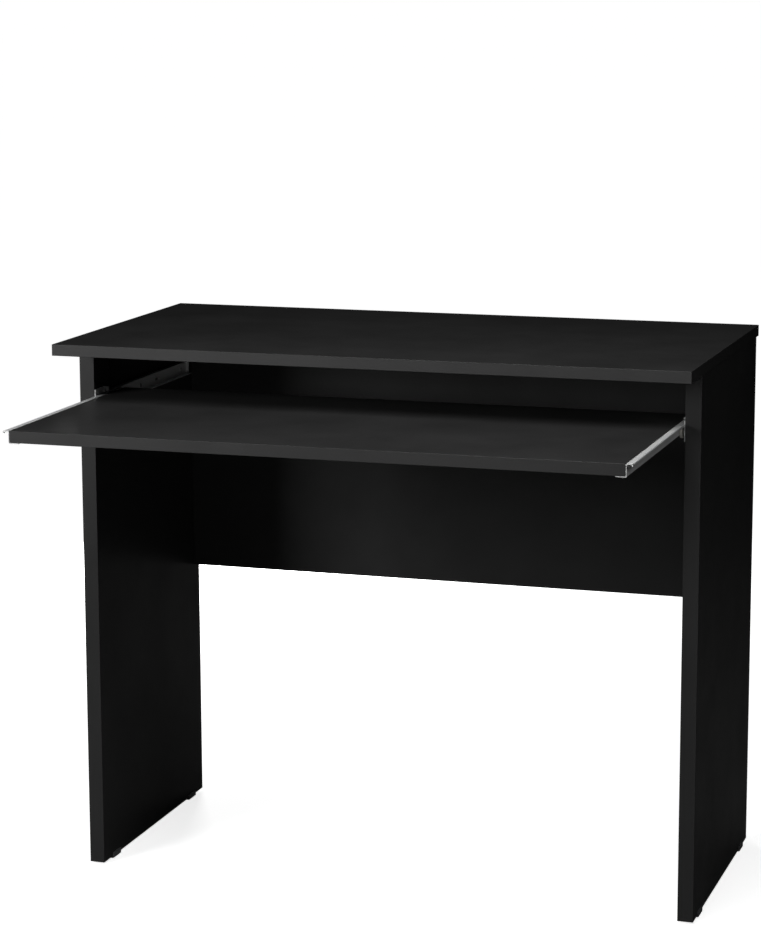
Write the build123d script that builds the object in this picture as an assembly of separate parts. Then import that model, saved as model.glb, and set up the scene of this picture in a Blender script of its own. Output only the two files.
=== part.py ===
"""Computer desk with a pull-out keyboard tray, as separate boards, strips, slides and fittings.

Millimetres. X runs across the desk, Y to its back, Z up. The origin is on the floor, midway
between the tray's front edge, with the tray pulled out, and the desk's back.
"""
import os
from math import cos, radians, sin
from build123d import *

# ---- Boards
width = 900                # tabletop, side to side
top_depth = 480
top_thick = 16
side_thick = 22
side_inset = 3             # the tabletop overhangs each side panel by this
front_overhang = 86        # and their front edges by this
side_height = 758
modesty_thick = 16
modesty_height = 391
modesty_inset = 4          # modesty panel back from the side panels' rear edges
tray_width = 829
tray_depth = 392
tray_thick = 16
tray_drop = 68             # tabletop's underside down to the tray's top
tray_reach = 220           # tray's front edge ahead of the tabletop's, as pulled out
band = 0.8                 # edge strip
band_round = 0.5

# ---- Glides under the side panels
glide_base = 3
glide_length = 30
glide_ear_height = 5.5
glide_ear_thick = 1.5
glide_inset = 46           # panel end to the glide's middle
glide_corner = 2.5
glide_toe = 0.8            # rounding where it meets the floor
nail_spacing = 14
nail_radius = 1.0
nail_head_radius = 2.5
nail_head_span = (1.0, 2.0)     # heights of the head's two faces
nail_depth = 12            # into the panel

# ---- Roller slides, one pair each side
sheet = 1.2                # steel thickness
bend = 1.6                 # outside radius of a fold
tight_bend = 0.02          # where the tray rail hugs the tray's lower corner
rail_length = 350          # cabinet rail
rail_front_gap = 1         # cabinet rail back from the side panel's front edge
channel_top = 3.4          # above the tray's top
channel_bottom = -18.2
channel_flange = 8.7       # flange width, from the side panel's face
left_plate_top = 9         # plates at the cabinet rails' fronts: the left one has a tab
right_plate_top = 4.6
bracket_bottom = -24
bracket_length = 33
bracket_corner = 2
bracket_slope = 7          # its lower edge runs up to the channel over this
tab_bottom = 2.4           # tab bent inward over the tray rail, at the left plate's rear edge
rear_stop_reach = 4.4      # tab at the channel's far end, from the side panel's face
tray_flange_width = 9
tray_flange_lip = 3.6
tray_foot_width = 13       # flange under the tray
rail_end_gap = 0.4         # tray rail back from the tray's front edge
front_roller_radius = 9.8
front_roller_inset = 14    # side panel's front edge to the roller's axis
front_roller_x = (4.6, 8.6)    # from the side panel's face
rear_roller_radius = 9.3
rear_roller_inset = 10     # rail's rear end to the roller's axis
rear_roller_x = (8.6, 3.0)
roller_gap = 0.1           # front roller below the flange that runs on it
rail_screw_drop = 9.5      # cabinet rail's screws below the tray's top
rail_screw_steps = (37, 165, 325)      # from the rail's front
rail_slot_steps = (101, 229)
rail_slot_length = 12
rail_slot_width = 4.2
screw_shank_radius = 2.0
cabinet_screw_head = (3.2, 1.0)        # radius and height
cabinet_screw_length = 14
tray_screw_head = (3.4, 1.8)
tray_screw_length = 13
tray_screw_inset = 7                   # from the tray's side edge
tray_screw_steps = (40, 196, 342)      # from the tray's front edge
pin_radius = 3.0
pin_play = 0.05
pin_head_radius = 4.5
pin_head = 0.8
pin_collar_radius = 4.0
pin_tail_radius = 2.0      # riveted through the sheet
roller_groove = 0.8        # moulded ring on a roller's face
roller_rim = 1.5
roller_round = 0.6

# ---- Fixings
cam_radius = 7.5
cam_setback = 34           # board's end to the cam's middle
bolt_neck_radius = 2.5
bolt_head_radius = 3.4
bolt_thread_radius = 3.5
bolt_thread_length = 11
bolt_bore_radius = 4.0
dowel_radius = 4.0
dowel_length = 30
dowel_shallow = 10         # part of a dowel in the face of a board
cap_radius = 8.8
cap_thick = 0.8
cap_round = 0.4
cap_stub_radius = 0.65
cap_stub_length = 1.6
cam_cross = (0.7, 3.0, 2.5)     # driver recess: half-width, half-length and depth
cam_head_room = (4.2, -4.6, 2.0)    # half-width, and how far behind and ahead of the middle
cam_neck_room = 2.9        # half-width of the way in for the bolt's neck
bolt_collar = 3.2
bolt_head_span = (-3.0, 1.5)    # along the bolt, from the cam's middle

# ---- Places worked out from the sizes above
top_front = -(top_depth + tray_reach) / 2 + tray_reach
top_rear = top_front + top_depth
side_front = top_front + front_overhang
side_rear = top_rear
side_low = glide_base
side_high = side_low + side_height
side_out = width / 2 - side_inset
side_in = side_out - side_thick
modesty_rear = side_rear - modesty_inset
modesty_front = modesty_rear - modesty_thick
modesty_low = side_high - modesty_height
tray_front = top_front - tray_reach
tray_rear = tray_front + tray_depth
tray_top = side_high - tray_drop
tray_low = tray_top - tray_thick
tray_side = tray_width / 2
rail_front = side_front + rail_front_gap
rail_rear = rail_front + rail_length
front_axis = (side_front + front_roller_inset, tray_top - sheet - roller_gap - front_roller_radius)
channel_middle = tray_top + (channel_top + channel_bottom) / 2
rear_axis = (tray_rear - rear_roller_inset, channel_middle)

os.makedirs("parts", exist_ok=True)


def block(x, y, z):
    """A box between the two limits given on each axis."""
    size = [high - low for low, high in (x, y, z)]
    middle = [(high + low) / 2 for low, high in (x, y, z)]
    return Pos(*middle) * Box(*size)


def rod_x(x0, x1, y, z, radius):
    """A round bar along X."""
    return Pos((x0 + x1) / 2, y, z) * Rot(0, 90, 0) * Cylinder(radius, abs(x1 - x0))


def rod_y(x, y0, y1, z, radius):
    """A round bar along Y."""
    return Pos(x, (y0 + y1) / 2, z) * Rot(90, 0, 0) * Cylinder(radius, abs(y1 - y0))


def rod_z(x, y, z0, z1, radius):
    """A round bar along Z."""
    return Pos(x, y, (z0 + z1) / 2) * Cylinder(radius, abs(z1 - z0))


def mirrored(shape):
    """The same piece for the other side of the desk."""
    return mirror(shape, about=Plane.YZ)


def save(name, *solids):
    """One STEP file for a piece, or for a group of like pieces."""
    flat = [solid for shape in solids for solid in shape.solids()]
    shape = flat[0] if len(flat) == 1 else Compound(children=flat)
    shape.label = name
    export_step(shape, f"parts/{name}.step")


def strip(x, y, z, outward):
    """An edge strip with its two outer long edges eased; outward is the way it faces."""
    body = block(x, y, z)
    face = body.faces().sort_by(outward)[-1]
    long_side = max(edge.length for edge in face.edges())
    return fillet([edge for edge in face.edges() if edge.length > 0.9 * long_side], band_round)


# ---------------------------------------------------------------- hidden fixings
# Each cam sits in a blind round pocket; its bolt comes from the board it pulls tight.
panel_cam_depth = 15.5
modesty_cam_depth = 12.5
top_cam_y = (side_front + 60, side_rear - 80)
top_dowel_y = (side_front + 105, side_rear - 125)
top_cam_z = side_high - cam_setback
panel_mid_x = (side_in + side_out) / 2
modesty_cam_z = (modesty_low + 60, side_high - 90)
modesty_dowel_z = (modesty_low + 105, side_high - 135)
modesty_cam_x = side_in - cam_setback
modesty_mid_y = (modesty_front + modesty_rear) / 2
top_dowel_x = (-300, 0, 300)


def cam(depth, axis_depth):
    """A cam disc in its own frame: face at z = 0, body below, open towards +Y for the bolt."""
    body = Cylinder(cam_radius, depth, align=(Align.CENTER, Align.CENTER, Align.MAX))
    half, behind, ahead = cam_head_room
    pocket = bolt_head_radius + 0.3
    head_room = block((-half, half), (behind, ahead), (-axis_depth - pocket, -axis_depth + pocket))
    neck_room = block((-cam_neck_room, cam_neck_room), (0, cam_radius),
                      (-axis_depth - cam_neck_room, -axis_depth + cam_neck_room))
    width_half, length_half, depth_in = cam_cross
    recess = block((-width_half, width_half), (-length_half, length_half), (-depth_in, 0))
    return body - head_room - neck_room - recess - Rot(0, 0, 90) * recess


def cam_bolt():
    """A cam bolt along +Z in its own frame: z = 0 is the board face that it screws into."""
    thread = rod_z(0, 0, 0, bolt_thread_length, bolt_thread_radius)
    collar = rod_z(0, 0, -bolt_collar, 0, bolt_thread_radius)
    head_low, head_high = [step - cam_setback for step in bolt_head_span]
    neck = rod_z(0, 0, head_high, -bolt_collar, bolt_neck_radius)
    head = rod_z(0, 0, head_low, head_high, bolt_head_radius)
    return thread + collar + neck + head


def cam_cap():
    """A push-in cover with its underside at z = 0 and a short stub below."""
    disc = Cylinder(cap_radius, cap_thick, align=(Align.CENTER, Align.CENTER, Align.MIN))
    disc = fillet(disc.edges().group_by(Axis.Z)[-1], cap_round)
    return disc + rod_z(0, 0, -cap_stub_length, 0, cap_stub_radius)


cams, bolts, caps, dowels = [], [], [], []
panel_cuts, top_cuts, modesty_cuts = [], [], []
for y in top_cam_y:
    # Inner face of the left panel looks along +X; the bolt comes from above.
    place = Location(Plane(origin=(-side_in, y, top_cam_z), x_dir=(0, 1, 0), z_dir=(1, 0, 0)))
    cams.append(place * cam(panel_cam_depth, side_thick / 2))
    caps.append(place * cam_cap())
    bolts.append(Pos(-panel_mid_x, y, side_high) * cam_bolt())
    panel_cuts.append(rod_x(-side_in - panel_cam_depth, -side_in, y, top_cam_z, cam_radius))
    panel_cuts.append(rod_z(-panel_mid_x, y, top_cam_z, side_high, bolt_bore_radius))
    top_cuts.append(rod_z(-panel_mid_x, y, side_high, side_high + bolt_thread_length,
                          bolt_thread_radius))
for y in top_dowel_y:
    low = side_high + dowel_shallow - dowel_length
    dowel = rod_z(-panel_mid_x, y, low, side_high + dowel_shallow, dowel_radius)
    dowels.append(dowel)
    panel_cuts.append(dowel)
    top_cuts.append(dowel)
for z in modesty_cam_z:
    # Rear face of the modesty panel looks along +Y; the bolt comes from the left panel.
    place = Location(Plane(origin=(-modesty_cam_x, modesty_rear, z), x_dir=(0, 0, -1),
                           z_dir=(0, 1, 0)))
    cams.append(place * cam(modesty_cam_depth, modesty_thick / 2))
    caps.append(place * cam_cap())
    bolts.append(Pos(-side_in, modesty_mid_y, z) * Rot(0, -90, 0) * cam_bolt())
    modesty_cuts.append(rod_y(-modesty_cam_x, modesty_rear - modesty_cam_depth, modesty_rear, z,
                              cam_radius))
    modesty_cuts.append(rod_x(-side_in, -modesty_cam_x, modesty_mid_y, z, bolt_bore_radius))
    panel_cuts.append(rod_x(-side_in - bolt_thread_length, -side_in, modesty_mid_y, z,
                            bolt_thread_radius))
for z in modesty_dowel_z:
    dowel = rod_x(-side_in - dowel_shallow, -side_in - dowel_shallow + dowel_length,
                  modesty_mid_y, z, dowel_radius)
    dowels.append(dowel)
    panel_cuts.append(dowel)
    modesty_cuts.append(dowel)

save("cam_locks", *cams, *[mirrored(piece) for piece in cams])
save("cam_bolts", *bolts, *[mirrored(piece) for piece in bolts])
save("cam_caps", *caps, *[mirrored(piece) for piece in caps])
middle_dowels = [rod_z(x, modesty_mid_y, side_high + dowel_shallow - dowel_length,
                       side_high + dowel_shallow, dowel_radius) for x in top_dowel_x]
save("dowels", *dowels, *[mirrored(piece) for piece in dowels], *middle_dowels)


# ---------------------------------------------------------------- glides
def glide(y):
    """A moulded shoe under the left panel, its two ears gripping the faces, and its nails."""
    ends = (y - glide_length / 2, y + glide_length / 2)
    wide = (-side_out - glide_ear_thick, -side_in + glide_ear_thick)
    body = block(wide, ends, (0, side_low + glide_ear_height))
    body = fillet(body.edges().filter_by(Axis.Z), glide_corner)
    body = fillet(body.edges().group_by(Axis.Z)[0], glide_toe)
    body -= block((-side_out, -side_in), ends, (side_low, side_low + glide_ear_height))
    head_low, head_high = nail_head_span
    nails = []
    for nail_y in (y - nail_spacing / 2, y + nail_spacing / 2):
        shank = rod_z(-panel_mid_x, nail_y, head_high, side_low + nail_depth, nail_radius)
        head = rod_z(-panel_mid_x, nail_y, head_low, head_high, nail_head_radius)
        nails.append(shank + head)
        body -= rod_z(-panel_mid_x, nail_y, 0, head_high, nail_head_radius)
        body -= shank
    return body, nails


glide_places = {"front": side_front + glide_inset, "rear": side_rear - glide_inset}
nails = []
for where, y in glide_places.items():
    body, pair = glide(y)
    save(f"glide_{where}_left", body)
    save(f"glide_{where}_right", mirrored(body))
    nails += pair
save("glide_nails", *nails, *[mirrored(nail) for nail in nails])


# ---------------------------------------------------------------- slides, left side
def folded_sheet(points, radii, y0, y1):
    """Sheet steel folded along a line of (x, z) points, its thickness on the line's left."""
    line = FilletPolyline(*points, radius=radii)
    outline = offset(line, amount=sheet, side=Side.LEFT)
    return extrude(Plane.XZ.offset(-y1) * make_face(outline), amount=y1 - y0)


def wood_screw(head_radius, head, length):
    """A cross-recessed screw: underside of its head at z = 0, shank along -Z."""
    body = rod_z(0, 0, 0, head, head_radius)
    body = fillet(body.edges().group_by(Axis.Z)[-1], head * 0.45)
    recess = block((-0.45, 0.45), (-1.7, 1.7), (head * 0.35, head))
    body = body - recess - Rot(0, 0, 90) * recess
    point = 2
    shank = rod_z(0, 0, point - length, 0, screw_shank_radius)
    tip = Pos(0, 0, point / 2 - length) * Rot(180, 0, 0) * Cone(screw_shank_radius, 0.4, point)
    return body + shank + tip


wall = -side_in                       # side panel's inner face
web_low = tray_top + channel_bottom
web_high = tray_top + channel_top
flange_tip = wall + channel_flange

bracket_rear = rail_front + bracket_length
screw_z = tray_top - rail_screw_drop
cabinet_screw_y = [rail_front + step for step in rail_screw_steps]


def cabinet_rail(plate_top):
    """A left-hand C-channel behind a taller flat plate, which carries the front roller."""
    rail = folded_sheet([(flange_tip, web_high), (wall, web_high), (wall, web_low),
                         (flange_tip, web_low)], [bend, bend], bracket_rear - sheet, rail_rear)
    outline = Polyline((rail_front, tray_top + plate_top), (bracket_rear, tray_top + plate_top),
                       (bracket_rear, web_low + bend),
                       (bracket_rear - bracket_slope, tray_top + bracket_bottom),
                       (rail_front, tray_top + bracket_bottom), close=True)
    plate = extrude(Plane.YZ.offset(wall) * make_face(outline), amount=sheet)
    plate = fillet(plate.edges().filter_by(Axis.X).group_by(Axis.Y)[0], bracket_corner)
    rear_stop = block((wall, wall + rear_stop_reach), (rail_rear - sheet, rail_rear),
                      (web_low + bend, web_high - bend))
    rail += plate + rear_stop
    for y in cabinet_screw_y:
        rail -= rod_x(wall, wall + sheet, y, screw_z, screw_shank_radius)
    for step in rail_slot_steps:
        slot = Plane(origin=(wall, rail_front + step, screw_z), x_dir=(0, 1, 0), z_dir=(1, 0, 0))
        rail -= extrude(slot * SlotOverall(rail_slot_length, rail_slot_width), amount=sheet)
    return rail - rod_x(wall, wall + sheet, *front_axis, pin_tail_radius)


tab = block((wall, flange_tip), (bracket_rear - sheet, bracket_rear),
            (tray_top + tab_bottom, tray_top + left_plate_top))
save("cabinet_rail_left", cabinet_rail(left_plate_top) + tab)
save("cabinet_rail_right", mirrored(cabinet_rail(right_plate_top)))

cabinet_screws = []
for y in cabinet_screw_y:
    place = Location(Plane(origin=(wall + sheet, y, screw_z), x_dir=(0, 1, 0), z_dir=(1, 0, 0)))
    cabinet_screws.append(place * wood_screw(*cabinet_screw_head, cabinet_screw_length))
    panel_cuts.append(rod_x(wall + sheet - cabinet_screw_length, wall, y, screw_z,
                            screw_shank_radius))
save("cabinet_rail_screws", *cabinet_screws, *[mirrored(screw) for screw in cabinet_screws])

# Tray rail: folded round the tray's edge, a foot below it and a lipped runner flange outside.
edge = -tray_side
tray_rail = folded_sheet(
    [(edge + tray_foot_width, tray_low), (edge, tray_low), (edge, tray_top),
     (edge - tray_flange_width, tray_top),
     (edge - tray_flange_width, tray_top - tray_flange_lip)],
    [tight_bend, bend, bend], tray_front + rail_end_gap, tray_rear)
flange_end = rear_axis[0] - rear_roller_radius - 2
tray_rail -= block((edge - tray_flange_width - 1, edge - sheet), (flange_end, tray_rear + 1),
                   (tray_low - 5, tray_top + 1))
tray_rail -= block((edge - sheet - 1, edge + 1), (tray_rear - 6, tray_rear + 1),
                   (tray_top - 5, tray_top + 1))
tray_screw_y = [tray_front + step for step in tray_screw_steps]
foot_x = edge + tray_screw_inset
for y in tray_screw_y:
    tray_rail -= rod_z(foot_x, y, tray_low - sheet, tray_low, screw_shank_radius)
tray_rail -= rod_x(edge - sheet, edge, *rear_axis, pin_tail_radius)
save("tray_rail_left", tray_rail)
save("tray_rail_right", mirrored(tray_rail))

tray_cuts = []
tray_screws = []
for y in tray_screw_y:
    tray_screws.append(Pos(foot_x, y, tray_low - sheet) * Rot(180, 0, 0)
                       * wood_screw(*tray_screw_head, tray_screw_length))
    tray_cuts.append(rod_z(foot_x, y, tray_low, tray_low - sheet + tray_screw_length,
                           screw_shank_radius))
save("tray_rail_screws", *tray_screws, *[mirrored(screw) for screw in tray_screws])


def roller(x_hub, x_head, axis, radius):
    """A nylon roller between two X values, hollowed at x_head for the pin's head."""
    inward = 1 if x_head > x_hub else -1
    body = fillet(rod_x(x_hub, x_head, *axis, radius).edges(), roller_round)
    body -= rod_x(x_hub, x_head, *axis, pin_radius + pin_play)
    body -= rod_x(x_head - inward * (pin_head + 0.15), x_head, *axis, pin_head_radius + 0.3)
    groove = rod_x(x_head - inward * roller_groove, x_head, *axis, radius - roller_rim)
    return body - (groove - rod_x(x_hub, x_head, *axis, pin_head_radius + roller_rim))


def roller_pin(x_sheet, x_hub, x_head, axis):
    """A shouldered rivet: tail through the sheet, collar, shaft and a head inside the roller."""
    inward = 1 if x_head > x_hub else -1
    tail = rod_x(x_sheet - inward * sheet, x_sheet, *axis, pin_tail_radius)
    collar = rod_x(x_sheet, x_hub - inward * 0.1, *axis, pin_collar_radius)
    shaft = rod_x(x_sheet, x_head, *axis, pin_radius)
    head = rod_x(x_head - inward * pin_head, x_head, *axis, pin_head_radius)
    return tail + collar + shaft + head


web_face = edge - sheet
front_ends = [wall + x for x in front_roller_x]
rear_ends = [wall + x for x in rear_roller_x]
pieces = {
    "front_roller": roller(*front_ends, front_axis, front_roller_radius),
    "front_roller_pin": roller_pin(wall + sheet, *front_ends, front_axis),
    "rear_roller": roller(*rear_ends, rear_axis, rear_roller_radius),
    "rear_roller_pin": roller_pin(web_face, *rear_ends, rear_axis),
}
for name, piece in pieces.items():
    save(f"{name}_left", piece)
    save(f"{name}_right", mirrored(piece))

# ---------------------------------------------------------------- boards and their edge strips
tabletop = block((-width / 2 + band, width / 2 - band), (top_front + band, top_rear - band),
                 (side_high, side_high + top_thick))
for cut in top_cuts:
    tabletop -= cut + mirrored(cut)
for cut in middle_dowels:
    tabletop -= cut
save("tabletop", tabletop)
top_z = (side_high, side_high + top_thick)
full = (-width / 2, width / 2)
between = (top_front + band, top_rear - band)
save("tabletop_edge_front", strip(full, (top_front, top_front + band), top_z, -Axis.Y))
save("tabletop_edge_rear", strip(full, (top_rear - band, top_rear), top_z, Axis.Y))
left_strip = strip((-width / 2, -width / 2 + band), between, top_z, -Axis.X)
save("tabletop_edge_left", left_strip)
save("tabletop_edge_right", mirrored(left_strip))

side_panel = block((-side_out, -side_in), (side_front + band, side_rear - band),
                   (side_low, side_high))
for cut in panel_cuts:
    side_panel -= cut
for nail in nails:
    side_panel -= nail
save("side_panel_left", side_panel)
save("side_panel_right", mirrored(side_panel))
side_x = (-side_out, -side_in)
side_z = (side_low, side_high)
for where, y, outward in (("front", (side_front, side_front + band), -Axis.Y),
                          ("rear", (side_rear - band, side_rear), Axis.Y)):
    upright = strip(side_x, y, side_z, outward)
    save(f"side_edge_{where}_left", upright)
    save(f"side_edge_{where}_right", mirrored(upright))

modesty_panel = block((-side_in, side_in), (modesty_front, modesty_rear),
                      (modesty_low + band, side_high))
for cut in modesty_cuts:
    modesty_panel -= cut + mirrored(cut)
for cut in middle_dowels:
    modesty_panel -= cut
save("modesty_panel", modesty_panel)
save("modesty_edge_bottom", strip((-side_in, side_in), (modesty_front, modesty_rear),
                                  (modesty_low, modesty_low + band), -Axis.Z))

keyboard_tray = block((-tray_side, tray_side), (tray_front + band, tray_rear - band),
                      (tray_low, tray_top))
for cut in tray_cuts:
    keyboard_tray -= cut + mirrored(cut)
save("keyboard_tray", keyboard_tray)
tray_z = (tray_low, tray_top)
across = (-tray_side, tray_side)
save("tray_edge_front", strip(across, (tray_front, tray_front + band), tray_z, -Axis.Y))
save("tray_edge_rear", strip(across, (tray_rear - band, tray_rear), tray_z, Axis.Y))
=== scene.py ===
"""Computer desk with a pull-out keyboard tray: black boards, zinc-plated slides, small fittings.

Metres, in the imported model's own frame: X to the sitter's right, Y to the desk's back, Z up.
"""
from math import radians

import bpy
from mathutils import Euler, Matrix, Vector


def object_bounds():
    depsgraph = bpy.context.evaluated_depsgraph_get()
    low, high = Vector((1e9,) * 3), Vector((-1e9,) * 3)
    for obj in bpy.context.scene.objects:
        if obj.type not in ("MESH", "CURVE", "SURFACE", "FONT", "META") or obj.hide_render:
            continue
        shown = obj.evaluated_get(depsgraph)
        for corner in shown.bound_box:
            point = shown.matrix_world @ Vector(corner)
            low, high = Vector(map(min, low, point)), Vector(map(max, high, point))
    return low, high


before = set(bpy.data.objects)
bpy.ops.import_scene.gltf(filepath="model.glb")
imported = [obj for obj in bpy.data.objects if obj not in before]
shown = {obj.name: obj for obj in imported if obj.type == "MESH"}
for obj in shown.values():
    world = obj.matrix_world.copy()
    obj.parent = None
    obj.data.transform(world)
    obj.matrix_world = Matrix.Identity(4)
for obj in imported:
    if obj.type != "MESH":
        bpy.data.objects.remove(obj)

cad_low, cad_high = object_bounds()


# ---- Boards: tabletop, two side panels, modesty panel and keyboard tray
# Chipboard faced with black melamine paper, pressed against a finely pearled steel plate and cut
# to size. Edges that no strip covers, such as the panels' undersides, show the raw chips.
MM = 0.001                   # a millimetre in the scene's metres


def colour(code):
    """An sRGB hex colour as Blender's linear RGBA."""
    channels = []
    for start in (1, 3, 5):
        value = int(code[start:start + 2], 16) / 255
        channels.append(value / 12.92 if value <= 0.04045 else ((value + 0.055) / 1.055) ** 2.4)
    return (*channels, 1.0)


def new_material(name):
    """An empty node material and its tree, with a Principled shader and an output."""
    material = bpy.data.materials.new(name)
    material.use_nodes = True
    return material, material.node_tree, material.node_tree.nodes["Principled BSDF"]


def fill(tree, node, inputs):
    """Sets a node's inputs, each to a plain value or by a link from another node's socket."""
    for key, value in inputs.items():
        if isinstance(value, bpy.types.NodeSocket):
            tree.links.new(value, node.inputs[key])
        else:
            node.inputs[key].default_value = value


def add_node(tree, kind, settings=None, inputs=None):
    """Adds a node with its settings and its inputs."""
    node = tree.nodes.new("ShaderNode" + kind)
    for key, value in (settings or {}).items():
        setattr(node, key, value)
    fill(tree, node, inputs or {})
    return node


def dress(names, material):
    """Gives CAD nodes a material in every slot."""
    for name in names:
        slots = shown[name].data.materials
        slots.clear()
        slots.append(material)


board_names = ["tabletop", "side_panel_left", "side_panel_right", "modesty_panel", "keyboard_tray"]
pearl_size = 1.1 * MM        # real pearling is finer; drawn coarser so that it shows
pearl_depth = 0.2 * MM
handled_patch = 143 * MM     # how far apart the patches lie that hands and cloths leave
chip_size = 2.6 * MM
lowest_edge = 6 * MM         # only the side panels' undersides are nearer the floor than this
board_black = colour("#2a2a2a")
board_black_worn = colour("#2f2f2f")
flake_brown = colour("#8a6a45")
flake_straw = colour("#cbb08a")
face_roughness = (0.36, 0.48)
raw_roughness = 0.85

# Black melamine on chipboard: satin and even, its pearled skin breaking up reflections a little.
melamine, tree, shader = new_material("black_melamine_pearled")
place = add_node(tree, "TexCoord").outputs["Object"]
pearl = add_node(tree, "TexNoise", None, {"Vector": place, "Scale": 1 / pearl_size, "Detail": 2.0})
handling = add_node(tree, "TexNoise", None, {"Vector": place, "Scale": 1 / handled_patch,
                                             "Detail": 5.0, "Roughness": 0.62})
cloud = add_node(tree, "MapRange", None, {"Value": handling.outputs["Fac"], "From Min": 0.35,
                                          "From Max": 0.72, "To Min": 0.0, "To Max": 1.0})
face_black = add_node(tree, "Mix", {"data_type": "RGBA"}, {
    "Factor": cloud.outputs["Result"], "A": board_black, "B": board_black_worn})
face_gloss = add_node(tree, "MapRange", None, {"Value": handling.outputs["Fac"], "From Min": 0.3,
                                               "From Max": 0.75, "To Min": face_roughness[0],
                                               "To Max": face_roughness[1]})

# Raw chipboard, seen only on the cut ends: dull flakes in tones from brown to straw.
chips = add_node(tree, "TexVoronoi", {"feature": "F1"}, {"Vector": place, "Scale": 1 / chip_size})
chip_tone = add_node(tree, "ValToRGB", None, {"Fac": chips.outputs["Color"]})
chip_tone.color_ramp.elements[0].color = flake_brown
chip_tone.color_ramp.elements[1].color = flake_straw
normal = add_node(tree, "SeparateXYZ", None, {"Vector": add_node(tree, "TexCoord").outputs["Normal"]})
height = add_node(tree, "SeparateXYZ", None, {"Vector": place})
faces_down = add_node(tree, "Math", {"operation": "LESS_THAN"}, {0: normal.outputs["Z"], 1: -0.9})
near_floor = add_node(tree, "Math", {"operation": "LESS_THAN"}, {
    0: height.outputs["Z"], 1: lowest_edge})
raw_end = add_node(tree, "Math", {"operation": "MULTIPLY"}, {0: faces_down.outputs[0],
                                                             1: near_floor.outputs[0]})
board_tone = add_node(tree, "Mix", {"data_type": "RGBA"}, {
    "Factor": raw_end.outputs[0], "A": face_black.outputs["Result"], "B": chip_tone.outputs["Color"]})
board_gloss = add_node(tree, "Mix", {"data_type": "FLOAT"}, {
    "Factor": raw_end.outputs[0], "A": face_gloss.outputs["Result"],
    "B": raw_roughness})
pearl_bump = add_node(tree, "Bump", None, {"Height": pearl.outputs["Fac"], "Strength": 0.12,
                                           "Distance": pearl_depth})
fill(tree, shader, {"Base Color": board_tone.outputs["Result"],
                    "Roughness": board_gloss.outputs["Result"],
                    "Normal": pearl_bump.outputs["Normal"], "Specular IOR Level": 0.3})
dress(board_names, melamine)


# ---- Edge strips
# Extruded ABS strip, glued round the boards' edges and trimmed flush. Its colour is near the
# faces' and its skin a touch duller, with a faint grain.
edge_names = [name for name in shown if "_edge_" in name]
edge_black = colour("#2c2c2c")
edge_black_pale = colour("#313131")
strip_grain = 0.9 * MM
strip_grain_depth = 0.15 * MM
strip_patch = 83 * MM
strip_roughness = (0.42, 0.52)

# Black ABS, extruded: an even satin that shows as a slightly paler line round each board.
abs_strip, tree, shader = new_material("black_abs_extruded")
place = add_node(tree, "TexCoord").outputs["Object"]
grain = add_node(tree, "TexNoise", None, {"Vector": place, "Scale": 1 / strip_grain,
                                          "Detail": 1.0})
patches = add_node(tree, "TexNoise", None, {"Vector": place, "Scale": 1 / strip_patch,
                                            "Detail": 3.0})
strip_gloss = add_node(tree, "MapRange", None, {"Value": patches.outputs["Fac"], "From Min": 0.3,
                                                "From Max": 0.7, "To Min": strip_roughness[0],
                                                "To Max": strip_roughness[1]})
strip_bump = add_node(tree, "Bump", None, {"Height": grain.outputs["Fac"], "Strength": 0.08,
                                           "Distance": strip_grain_depth})
strip_tone = add_node(tree, "Mix", {"data_type": "RGBA"}, {
    "Factor": patches.outputs["Fac"], "A": edge_black, "B": edge_black_pale})
fill(tree, shader, {"Base Color": strip_tone.outputs["Result"],
                    "Roughness": strip_gloss.outputs["Result"],
                    "Normal": strip_bump.outputs["Normal"], "Specular IOR Level": 0.25})
dress(edge_names, abs_strip)


# ---- Glides
# Four moulded polypropylene shoes. Each grips a side panel's lower edge between two ears and is
# nailed on through its sole, and the desk stands clear of the floor on them.
glide_names = [name for name in shown if name.startswith("glide_") and name != "glide_nails"]
shoe_grey = colour("#58585a")
shoe_grey_scuffed = colour("#78787a")
spark_grain = 0.7 * MM
spark_depth = 0.1 * MM
scuff_size = 6.25 * MM

# Grey polypropylene, injection moulded: fine spark-eroded skin, waxy semi-gloss.
shoe, tree, shader = new_material("polypropylene_moulded")
place = add_node(tree, "TexCoord").outputs["Object"]
skin = add_node(tree, "TexNoise", None, {"Vector": place, "Scale": 1 / spark_grain, "Detail": 3.0})
scuff = add_node(tree, "TexNoise", None, {"Vector": place, "Scale": 1 / scuff_size, "Detail": 4.0})
shoe_tone = add_node(tree, "Mix", {"data_type": "RGBA"}, {
    "Factor": scuff.outputs["Fac"], "A": shoe_grey, "B": shoe_grey_scuffed})
shoe_bump = add_node(tree, "Bump", None, {"Height": skin.outputs["Fac"], "Strength": 0.2,
                                          "Distance": spark_depth})
fill(tree, shader, {"Base Color": shoe_tone.outputs["Result"],
                    "Normal": shoe_bump.outputs["Normal"], "Roughness": 0.38})
dress(glide_names, shoe)


# ---- Roller slides
# Cabinet and tray rails, folded from steel strip and bright zinc plated. The plating keeps the
# fine lines of the rolling mill along the rail, under a faint blue-white passivate.
rail_names = [name for name in shown if name.endswith(("_rail_left", "_rail_right"))]
zinc_blue = colour("#d9dbdd")
zinc_white = colour("#e9e9e6")
mill_line = 0.5 * MM
mill_line_stretch = 0.02     # fineness along the rail, against 1 across it
mill_line_depth = 0.05 * MM
bloom_size = 18 * MM
rail_roughness = (0.3, 0.46)

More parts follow.
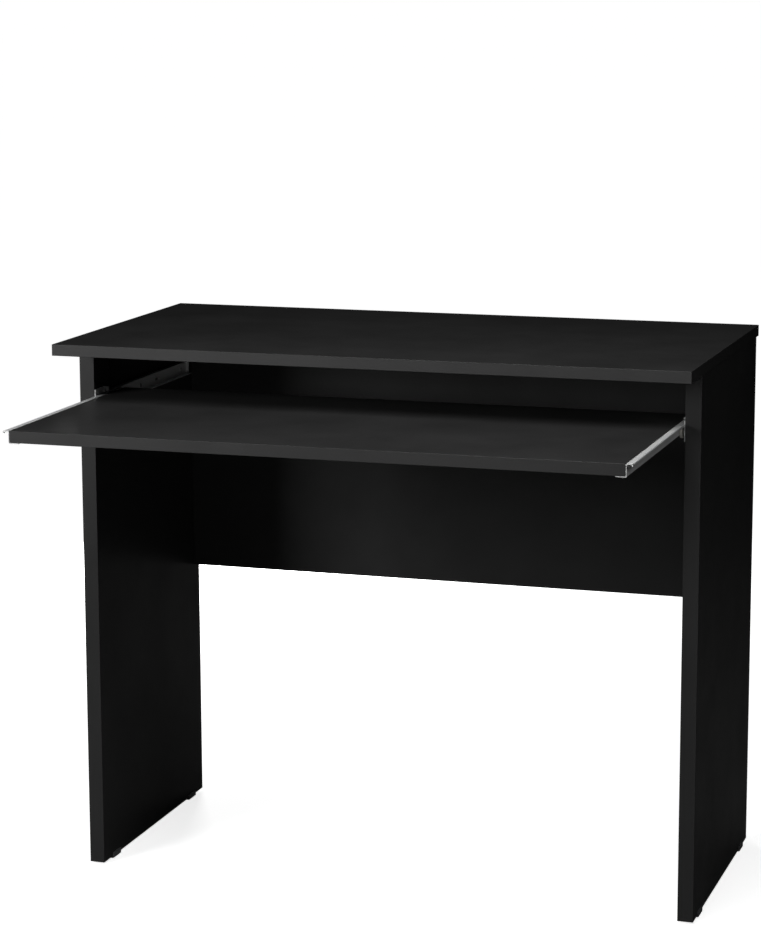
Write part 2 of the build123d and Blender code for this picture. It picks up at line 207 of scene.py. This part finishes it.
# Zinc plate on rolled steel: pale, slightly uneven metal with soft streaks along the rail. It is
# only partly metallic, because full metal mirrors the dim surround and the rails would go dark.
zinc, tree, shader = new_material("zinc_plated_rolled_steel")
place = add_node(tree, "TexCoord").outputs["Object"]
along = add_node(tree, "Mapping", None, {"Vector": place,
                                        "Scale": (1.0, mill_line_stretch, 1.0)})
streaks = add_node(tree, "TexNoise", None, {"Vector": along.outputs["Vector"],
                                            "Scale": 1 / mill_line, "Detail": 3.0})
bloom = add_node(tree, "TexNoise", None, {"Vector": place, "Scale": 1 / bloom_size, "Detail": 4.0})
zinc_tone = add_node(tree, "Mix", {"data_type": "RGBA"}, {
    "Factor": bloom.outputs["Fac"], "A": zinc_blue, "B": zinc_white})
zinc_gloss = add_node(tree, "MapRange", None, {"Value": streaks.outputs["Fac"], "From Min": 0.25,
                                               "From Max": 0.75, "To Min": rail_roughness[0],
                                               "To Max": rail_roughness[1]})
zinc_bump = add_node(tree, "Bump", None, {"Height": streaks.outputs["Fac"], "Strength": 0.1,
                                          "Distance": mill_line_depth})
fill(tree, shader, {"Base Color": zinc_tone.outputs["Result"],
                    "Roughness": zinc_gloss.outputs["Result"],
                    "Normal": zinc_bump.outputs["Normal"], "Metallic": 0.3})
dress(rail_names, zinc)


# ---- Rollers
# Four nylon rollers, moulded in one piece with a recess for the rivet's head. The front pair
# carries the tray; the rear pair, on the tray, holds its back end down.
roller_names = [name for name in shown if name.endswith(("_roller_left", "_roller_right"))]
nylon_milky = colour("#dcdad2")
nylon_grimy = colour("#bdbab2")
grime_size = 3.85 * MM
nylon_grain_depth = 0.1 * MM

# Natural nylon, moulded: milky, slightly waxy, with patches of light grey grime.
nylon, tree, shader = new_material("nylon_moulded")
place = add_node(tree, "TexCoord").outputs["Object"]
grime = add_node(tree, "TexNoise", None, {"Vector": place, "Scale": 1 / grime_size, "Detail": 4.0})
nylon_tone = add_node(tree, "Mix", {"data_type": "RGBA"}, {
    "Factor": grime.outputs["Fac"], "A": nylon_milky, "B": nylon_grimy})
nylon_bump = add_node(tree, "Bump", None, {"Height": grime.outputs["Fac"], "Strength": 0.1,
                                           "Distance": nylon_grain_depth})
fill(tree, shader, {"Base Color": nylon_tone.outputs["Result"],
                    "Normal": nylon_bump.outputs["Normal"], "Roughness": 0.42})
dress(roller_names, nylon)


# ---- Rivets, screws and nails
# Shouldered steel rivets that the rollers turn on, cross-recessed screws through the rails, and
# the glides' nails. All are zinc plated in a barrel, which leaves them greyer than the rails.
fastener_names = [name for name in shown if "roller_pin" in name or name.endswith("_screws")]
fastener_names.append("glide_nails")
barrel_grey = colour("#a9abac")
barrel_grey_warm = colour("#c4c3bd")
tumble_size = 1.11 * MM
fastener_roughness = (0.28, 0.42)

# Barrel-zinc-plated steel: grey metal, finely mottled by tumbling.
fastener_zinc, tree, shader = new_material("zinc_plated_fastener_steel")
place = add_node(tree, "TexCoord").outputs["Object"]
tumble = add_node(tree, "TexNoise", None, {"Vector": place, "Scale": 1 / tumble_size,
                                           "Detail": 3.0})
tumble_tone = add_node(tree, "Mix", {"data_type": "RGBA"}, {
    "Factor": tumble.outputs["Fac"], "A": barrel_grey, "B": barrel_grey_warm})
tumble_gloss = add_node(tree, "MapRange", None, {"Value": tumble.outputs["Fac"], "From Min": 0.3,
                                                 "From Max": 0.7, "To Min": fastener_roughness[0],
                                                 "To Max": fastener_roughness[1]})
fill(tree, shader, {"Base Color": tumble_tone.outputs["Result"],
                    "Roughness": tumble_gloss.outputs["Result"], "Metallic": 1.0})
dress(fastener_names, fastener_zinc)


# ---- Knock-down fittings
# Cams let into the panels' inner faces and the modesty panel's back, the bolts they pull on,
# their push-in covers, and the dowels that line the boards up.
cast_grey = colour("#8f9193")
cast_grey_pale = colour("#b3b4b4")
cast_grain = 0.91 * MM
cover_black = colour("#242426")
cover_black_pale = colour("#2f2f31")
cover_grain = 0.77 * MM
skin_depth = 0.05 * MM
beech_fleck = colour("#b98f63")
beech_pale = colour("#dfc09a")
fleck_size = 1.43 * MM

# Zinc alloy, die cast: soft grey metal with a slightly grainy skin.
cast_zinc, tree, shader = new_material("zinc_alloy_die_cast")
place = add_node(tree, "TexCoord").outputs["Object"]
grain = add_node(tree, "TexNoise", None, {"Vector": place, "Scale": 1 / cast_grain, "Detail": 3.0})
cast_tone = add_node(tree, "Mix", {"data_type": "RGBA"}, {
    "Factor": grain.outputs["Fac"], "A": cast_grey, "B": cast_grey_pale})
cast_bump = add_node(tree, "Bump", None, {"Height": grain.outputs["Fac"], "Strength": 0.25,
                                          "Distance": skin_depth})
fill(tree, shader, {"Base Color": cast_tone.outputs["Result"],
                    "Normal": cast_bump.outputs["Normal"], "Metallic": 1.0, "Roughness": 0.45})
dress(["cam_locks", "cam_bolts"], cast_zinc)

# Black polyethylene, moulded: matt cover that nearly disappears on the black board.
cover, tree, shader = new_material("black_polyethylene_moulded")
place = add_node(tree, "TexCoord").outputs["Object"]
matt = add_node(tree, "TexNoise", None, {"Vector": place, "Scale": 1 / cover_grain, "Detail": 2.0})
cover_tone = add_node(tree, "Mix", {"data_type": "RGBA"}, {
    "Factor": matt.outputs["Fac"], "A": cover_black, "B": cover_black_pale})
cover_bump = add_node(tree, "Bump", None, {"Height": matt.outputs["Fac"], "Strength": 0.15,
                                           "Distance": skin_depth})
fill(tree, shader, {"Base Color": cover_tone.outputs["Result"],
                    "Normal": cover_bump.outputs["Normal"], "Roughness": 0.5})
dress(["cam_caps"], cover)

# Beech, turned and fluted: pale pinkish wood with small darker flecks.
beech, tree, shader = new_material("beech_turned")
place = add_node(tree, "TexCoord").outputs["Object"]
flecks = add_node(tree, "TexNoise", None, {"Vector": place, "Scale": 1 / fleck_size, "Detail": 5.0})
beech_tone = add_node(tree, "Mix", {"data_type": "RGBA"}, {
    "Factor": flecks.outputs["Fac"], "A": beech_fleck, "B": beech_pale})
fill(tree, shader, {"Base Color": beech_tone.outputs["Result"], "Roughness": 0.7})
dress(["dowels"], beech)


# ---- Studio
# A pale floor without seams and four soft lights in front: the main one on the left, two above
# and a weak low one on the right. A fifth, low behind, keeps the desk's back from going black.
# The eye sees floor and surround as white, while they throw hardly any light on the desk, so
# the black faces turned away from the lights stay deep.
floor_half = 60.0
paper_seen, paper_thrown = 0.85, 0.14        # how pale the floor looks, and how it lights the desk
surround_seen, surround_thrown = 1.0, 0.004
glow_near, glow_far = 0.8, 1.0               # the floor's own glow, at these distances
glow_start, glow_end = 0.6, 2.4
floor_mesh = bpy.data.meshes.new("studio_floor")
floor_mesh.from_pydata([(-floor_half, -floor_half, 0), (floor_half, -floor_half, 0),
                        (floor_half, floor_half, 0), (-floor_half, floor_half, 0)], [],
                       [(0, 1, 2, 3)])
floor = bpy.data.objects.new("studio_floor", floor_mesh)
bpy.context.scene.collection.objects.link(floor)
paper, tree, shader = new_material("studio_paper")
seen = add_node(tree, "LightPath")
paper_tone = add_node(tree, "Mix", {"data_type": "RGBA"}, {
    "Factor": seen.outputs["Is Camera Ray"], "A": (*[paper_thrown] * 3, 1),
    "B": (*[paper_seen] * 3, 1)})
away = add_node(tree, "VectorMath", {"operation": "LENGTH"}, {
    0: add_node(tree, "TexCoord").outputs["Object"]})
paper_lift = add_node(tree, "MapRange", None, {
    "Value": away.outputs["Value"], "From Min": glow_start, "From Max": glow_end,
    "To Min": glow_near, "To Max": glow_far})
paper_glow = add_node(tree, "Math", {"operation": "MULTIPLY"}, {
    0: seen.outputs["Is Camera Ray"], 1: paper_lift.outputs["Result"]})
fill(tree, shader, {"Base Color": paper_tone.outputs["Result"], "Roughness": 0.9,
                    "Specular IOR Level": 0.1, "Emission Color": (1, 1, 1, 1),
                    "Emission Strength": paper_glow.outputs[0]})
floor_mesh.materials.append(paper)

world = bpy.data.worlds.new("studio_surround")
bpy.context.scene.world = world
world.use_nodes = True
tree = world.node_tree
seen = add_node(tree, "LightPath")
surround_tone = add_node(tree, "Mix", {"data_type": "RGBA"}, {
    "Factor": seen.outputs["Is Camera Ray"], "A": (*[surround_thrown] * 3, 1),
    "B": (*[surround_seen] * 3, 1)})
fill(tree, tree.nodes["Background"], {"Color": surround_tone.outputs["Result"]})


def soft_light(name, place, target, size, power):
    """A square area light aimed at a point."""
    lamp = bpy.data.lights.new(name, "AREA")
    lamp.size = size
    lamp.energy = power
    holder = bpy.data.objects.new(name, lamp)
    holder.location = place
    holder.rotation_euler = (Vector(target) - Vector(place)).to_track_quat("-Z", "Y").to_euler()
    holder.visible_camera = False
    bpy.context.scene.collection.objects.link(holder)


middle = (cad_low + cad_high) / 2
soft_light("key_front_left", (-1.25, -1.5, 1.15), middle, 0.6, 21.5)
soft_light("above_front_edge", (0.25, -0.78, 1.6), middle, 0.6, 12)
soft_light("above_right", (1.5, -1.0, 1.7), middle, 0.6, 4.5)
soft_light("low_front_right", (0.9, -2.4, 0.35), middle, 0.8, 2)
soft_light("low_behind", (-1.1, 2.2, 0.35), middle, 0.5, 40)

bpy.context.scene.view_settings.view_transform = "Standard"

camera_tilt = 10.3461        # degrees below level
camera_turn = 17.8113        # degrees to the left of the desk's own axis
camera_roll = -0.1807
camera = bpy.data.cameras.new("camera")
camera.lens = 110.67
camera.sensor_width = 36
camera.clip_end = 200
viewpoint = bpy.data.objects.new("camera", camera)
viewpoint.location = (1.17789, -3.70914, 1.32212)
aim = Euler((radians(90 - camera_tilt), 0, radians(camera_turn)), "XYZ").to_matrix()
roll = Euler((0, 0, radians(camera_roll)), "XYZ").to_matrix()
viewpoint.rotation_euler = (aim @ roll).to_euler()
bpy.context.scene.collection.objects.link(viewpoint)
bpy.context.scene.camera = viewpoint
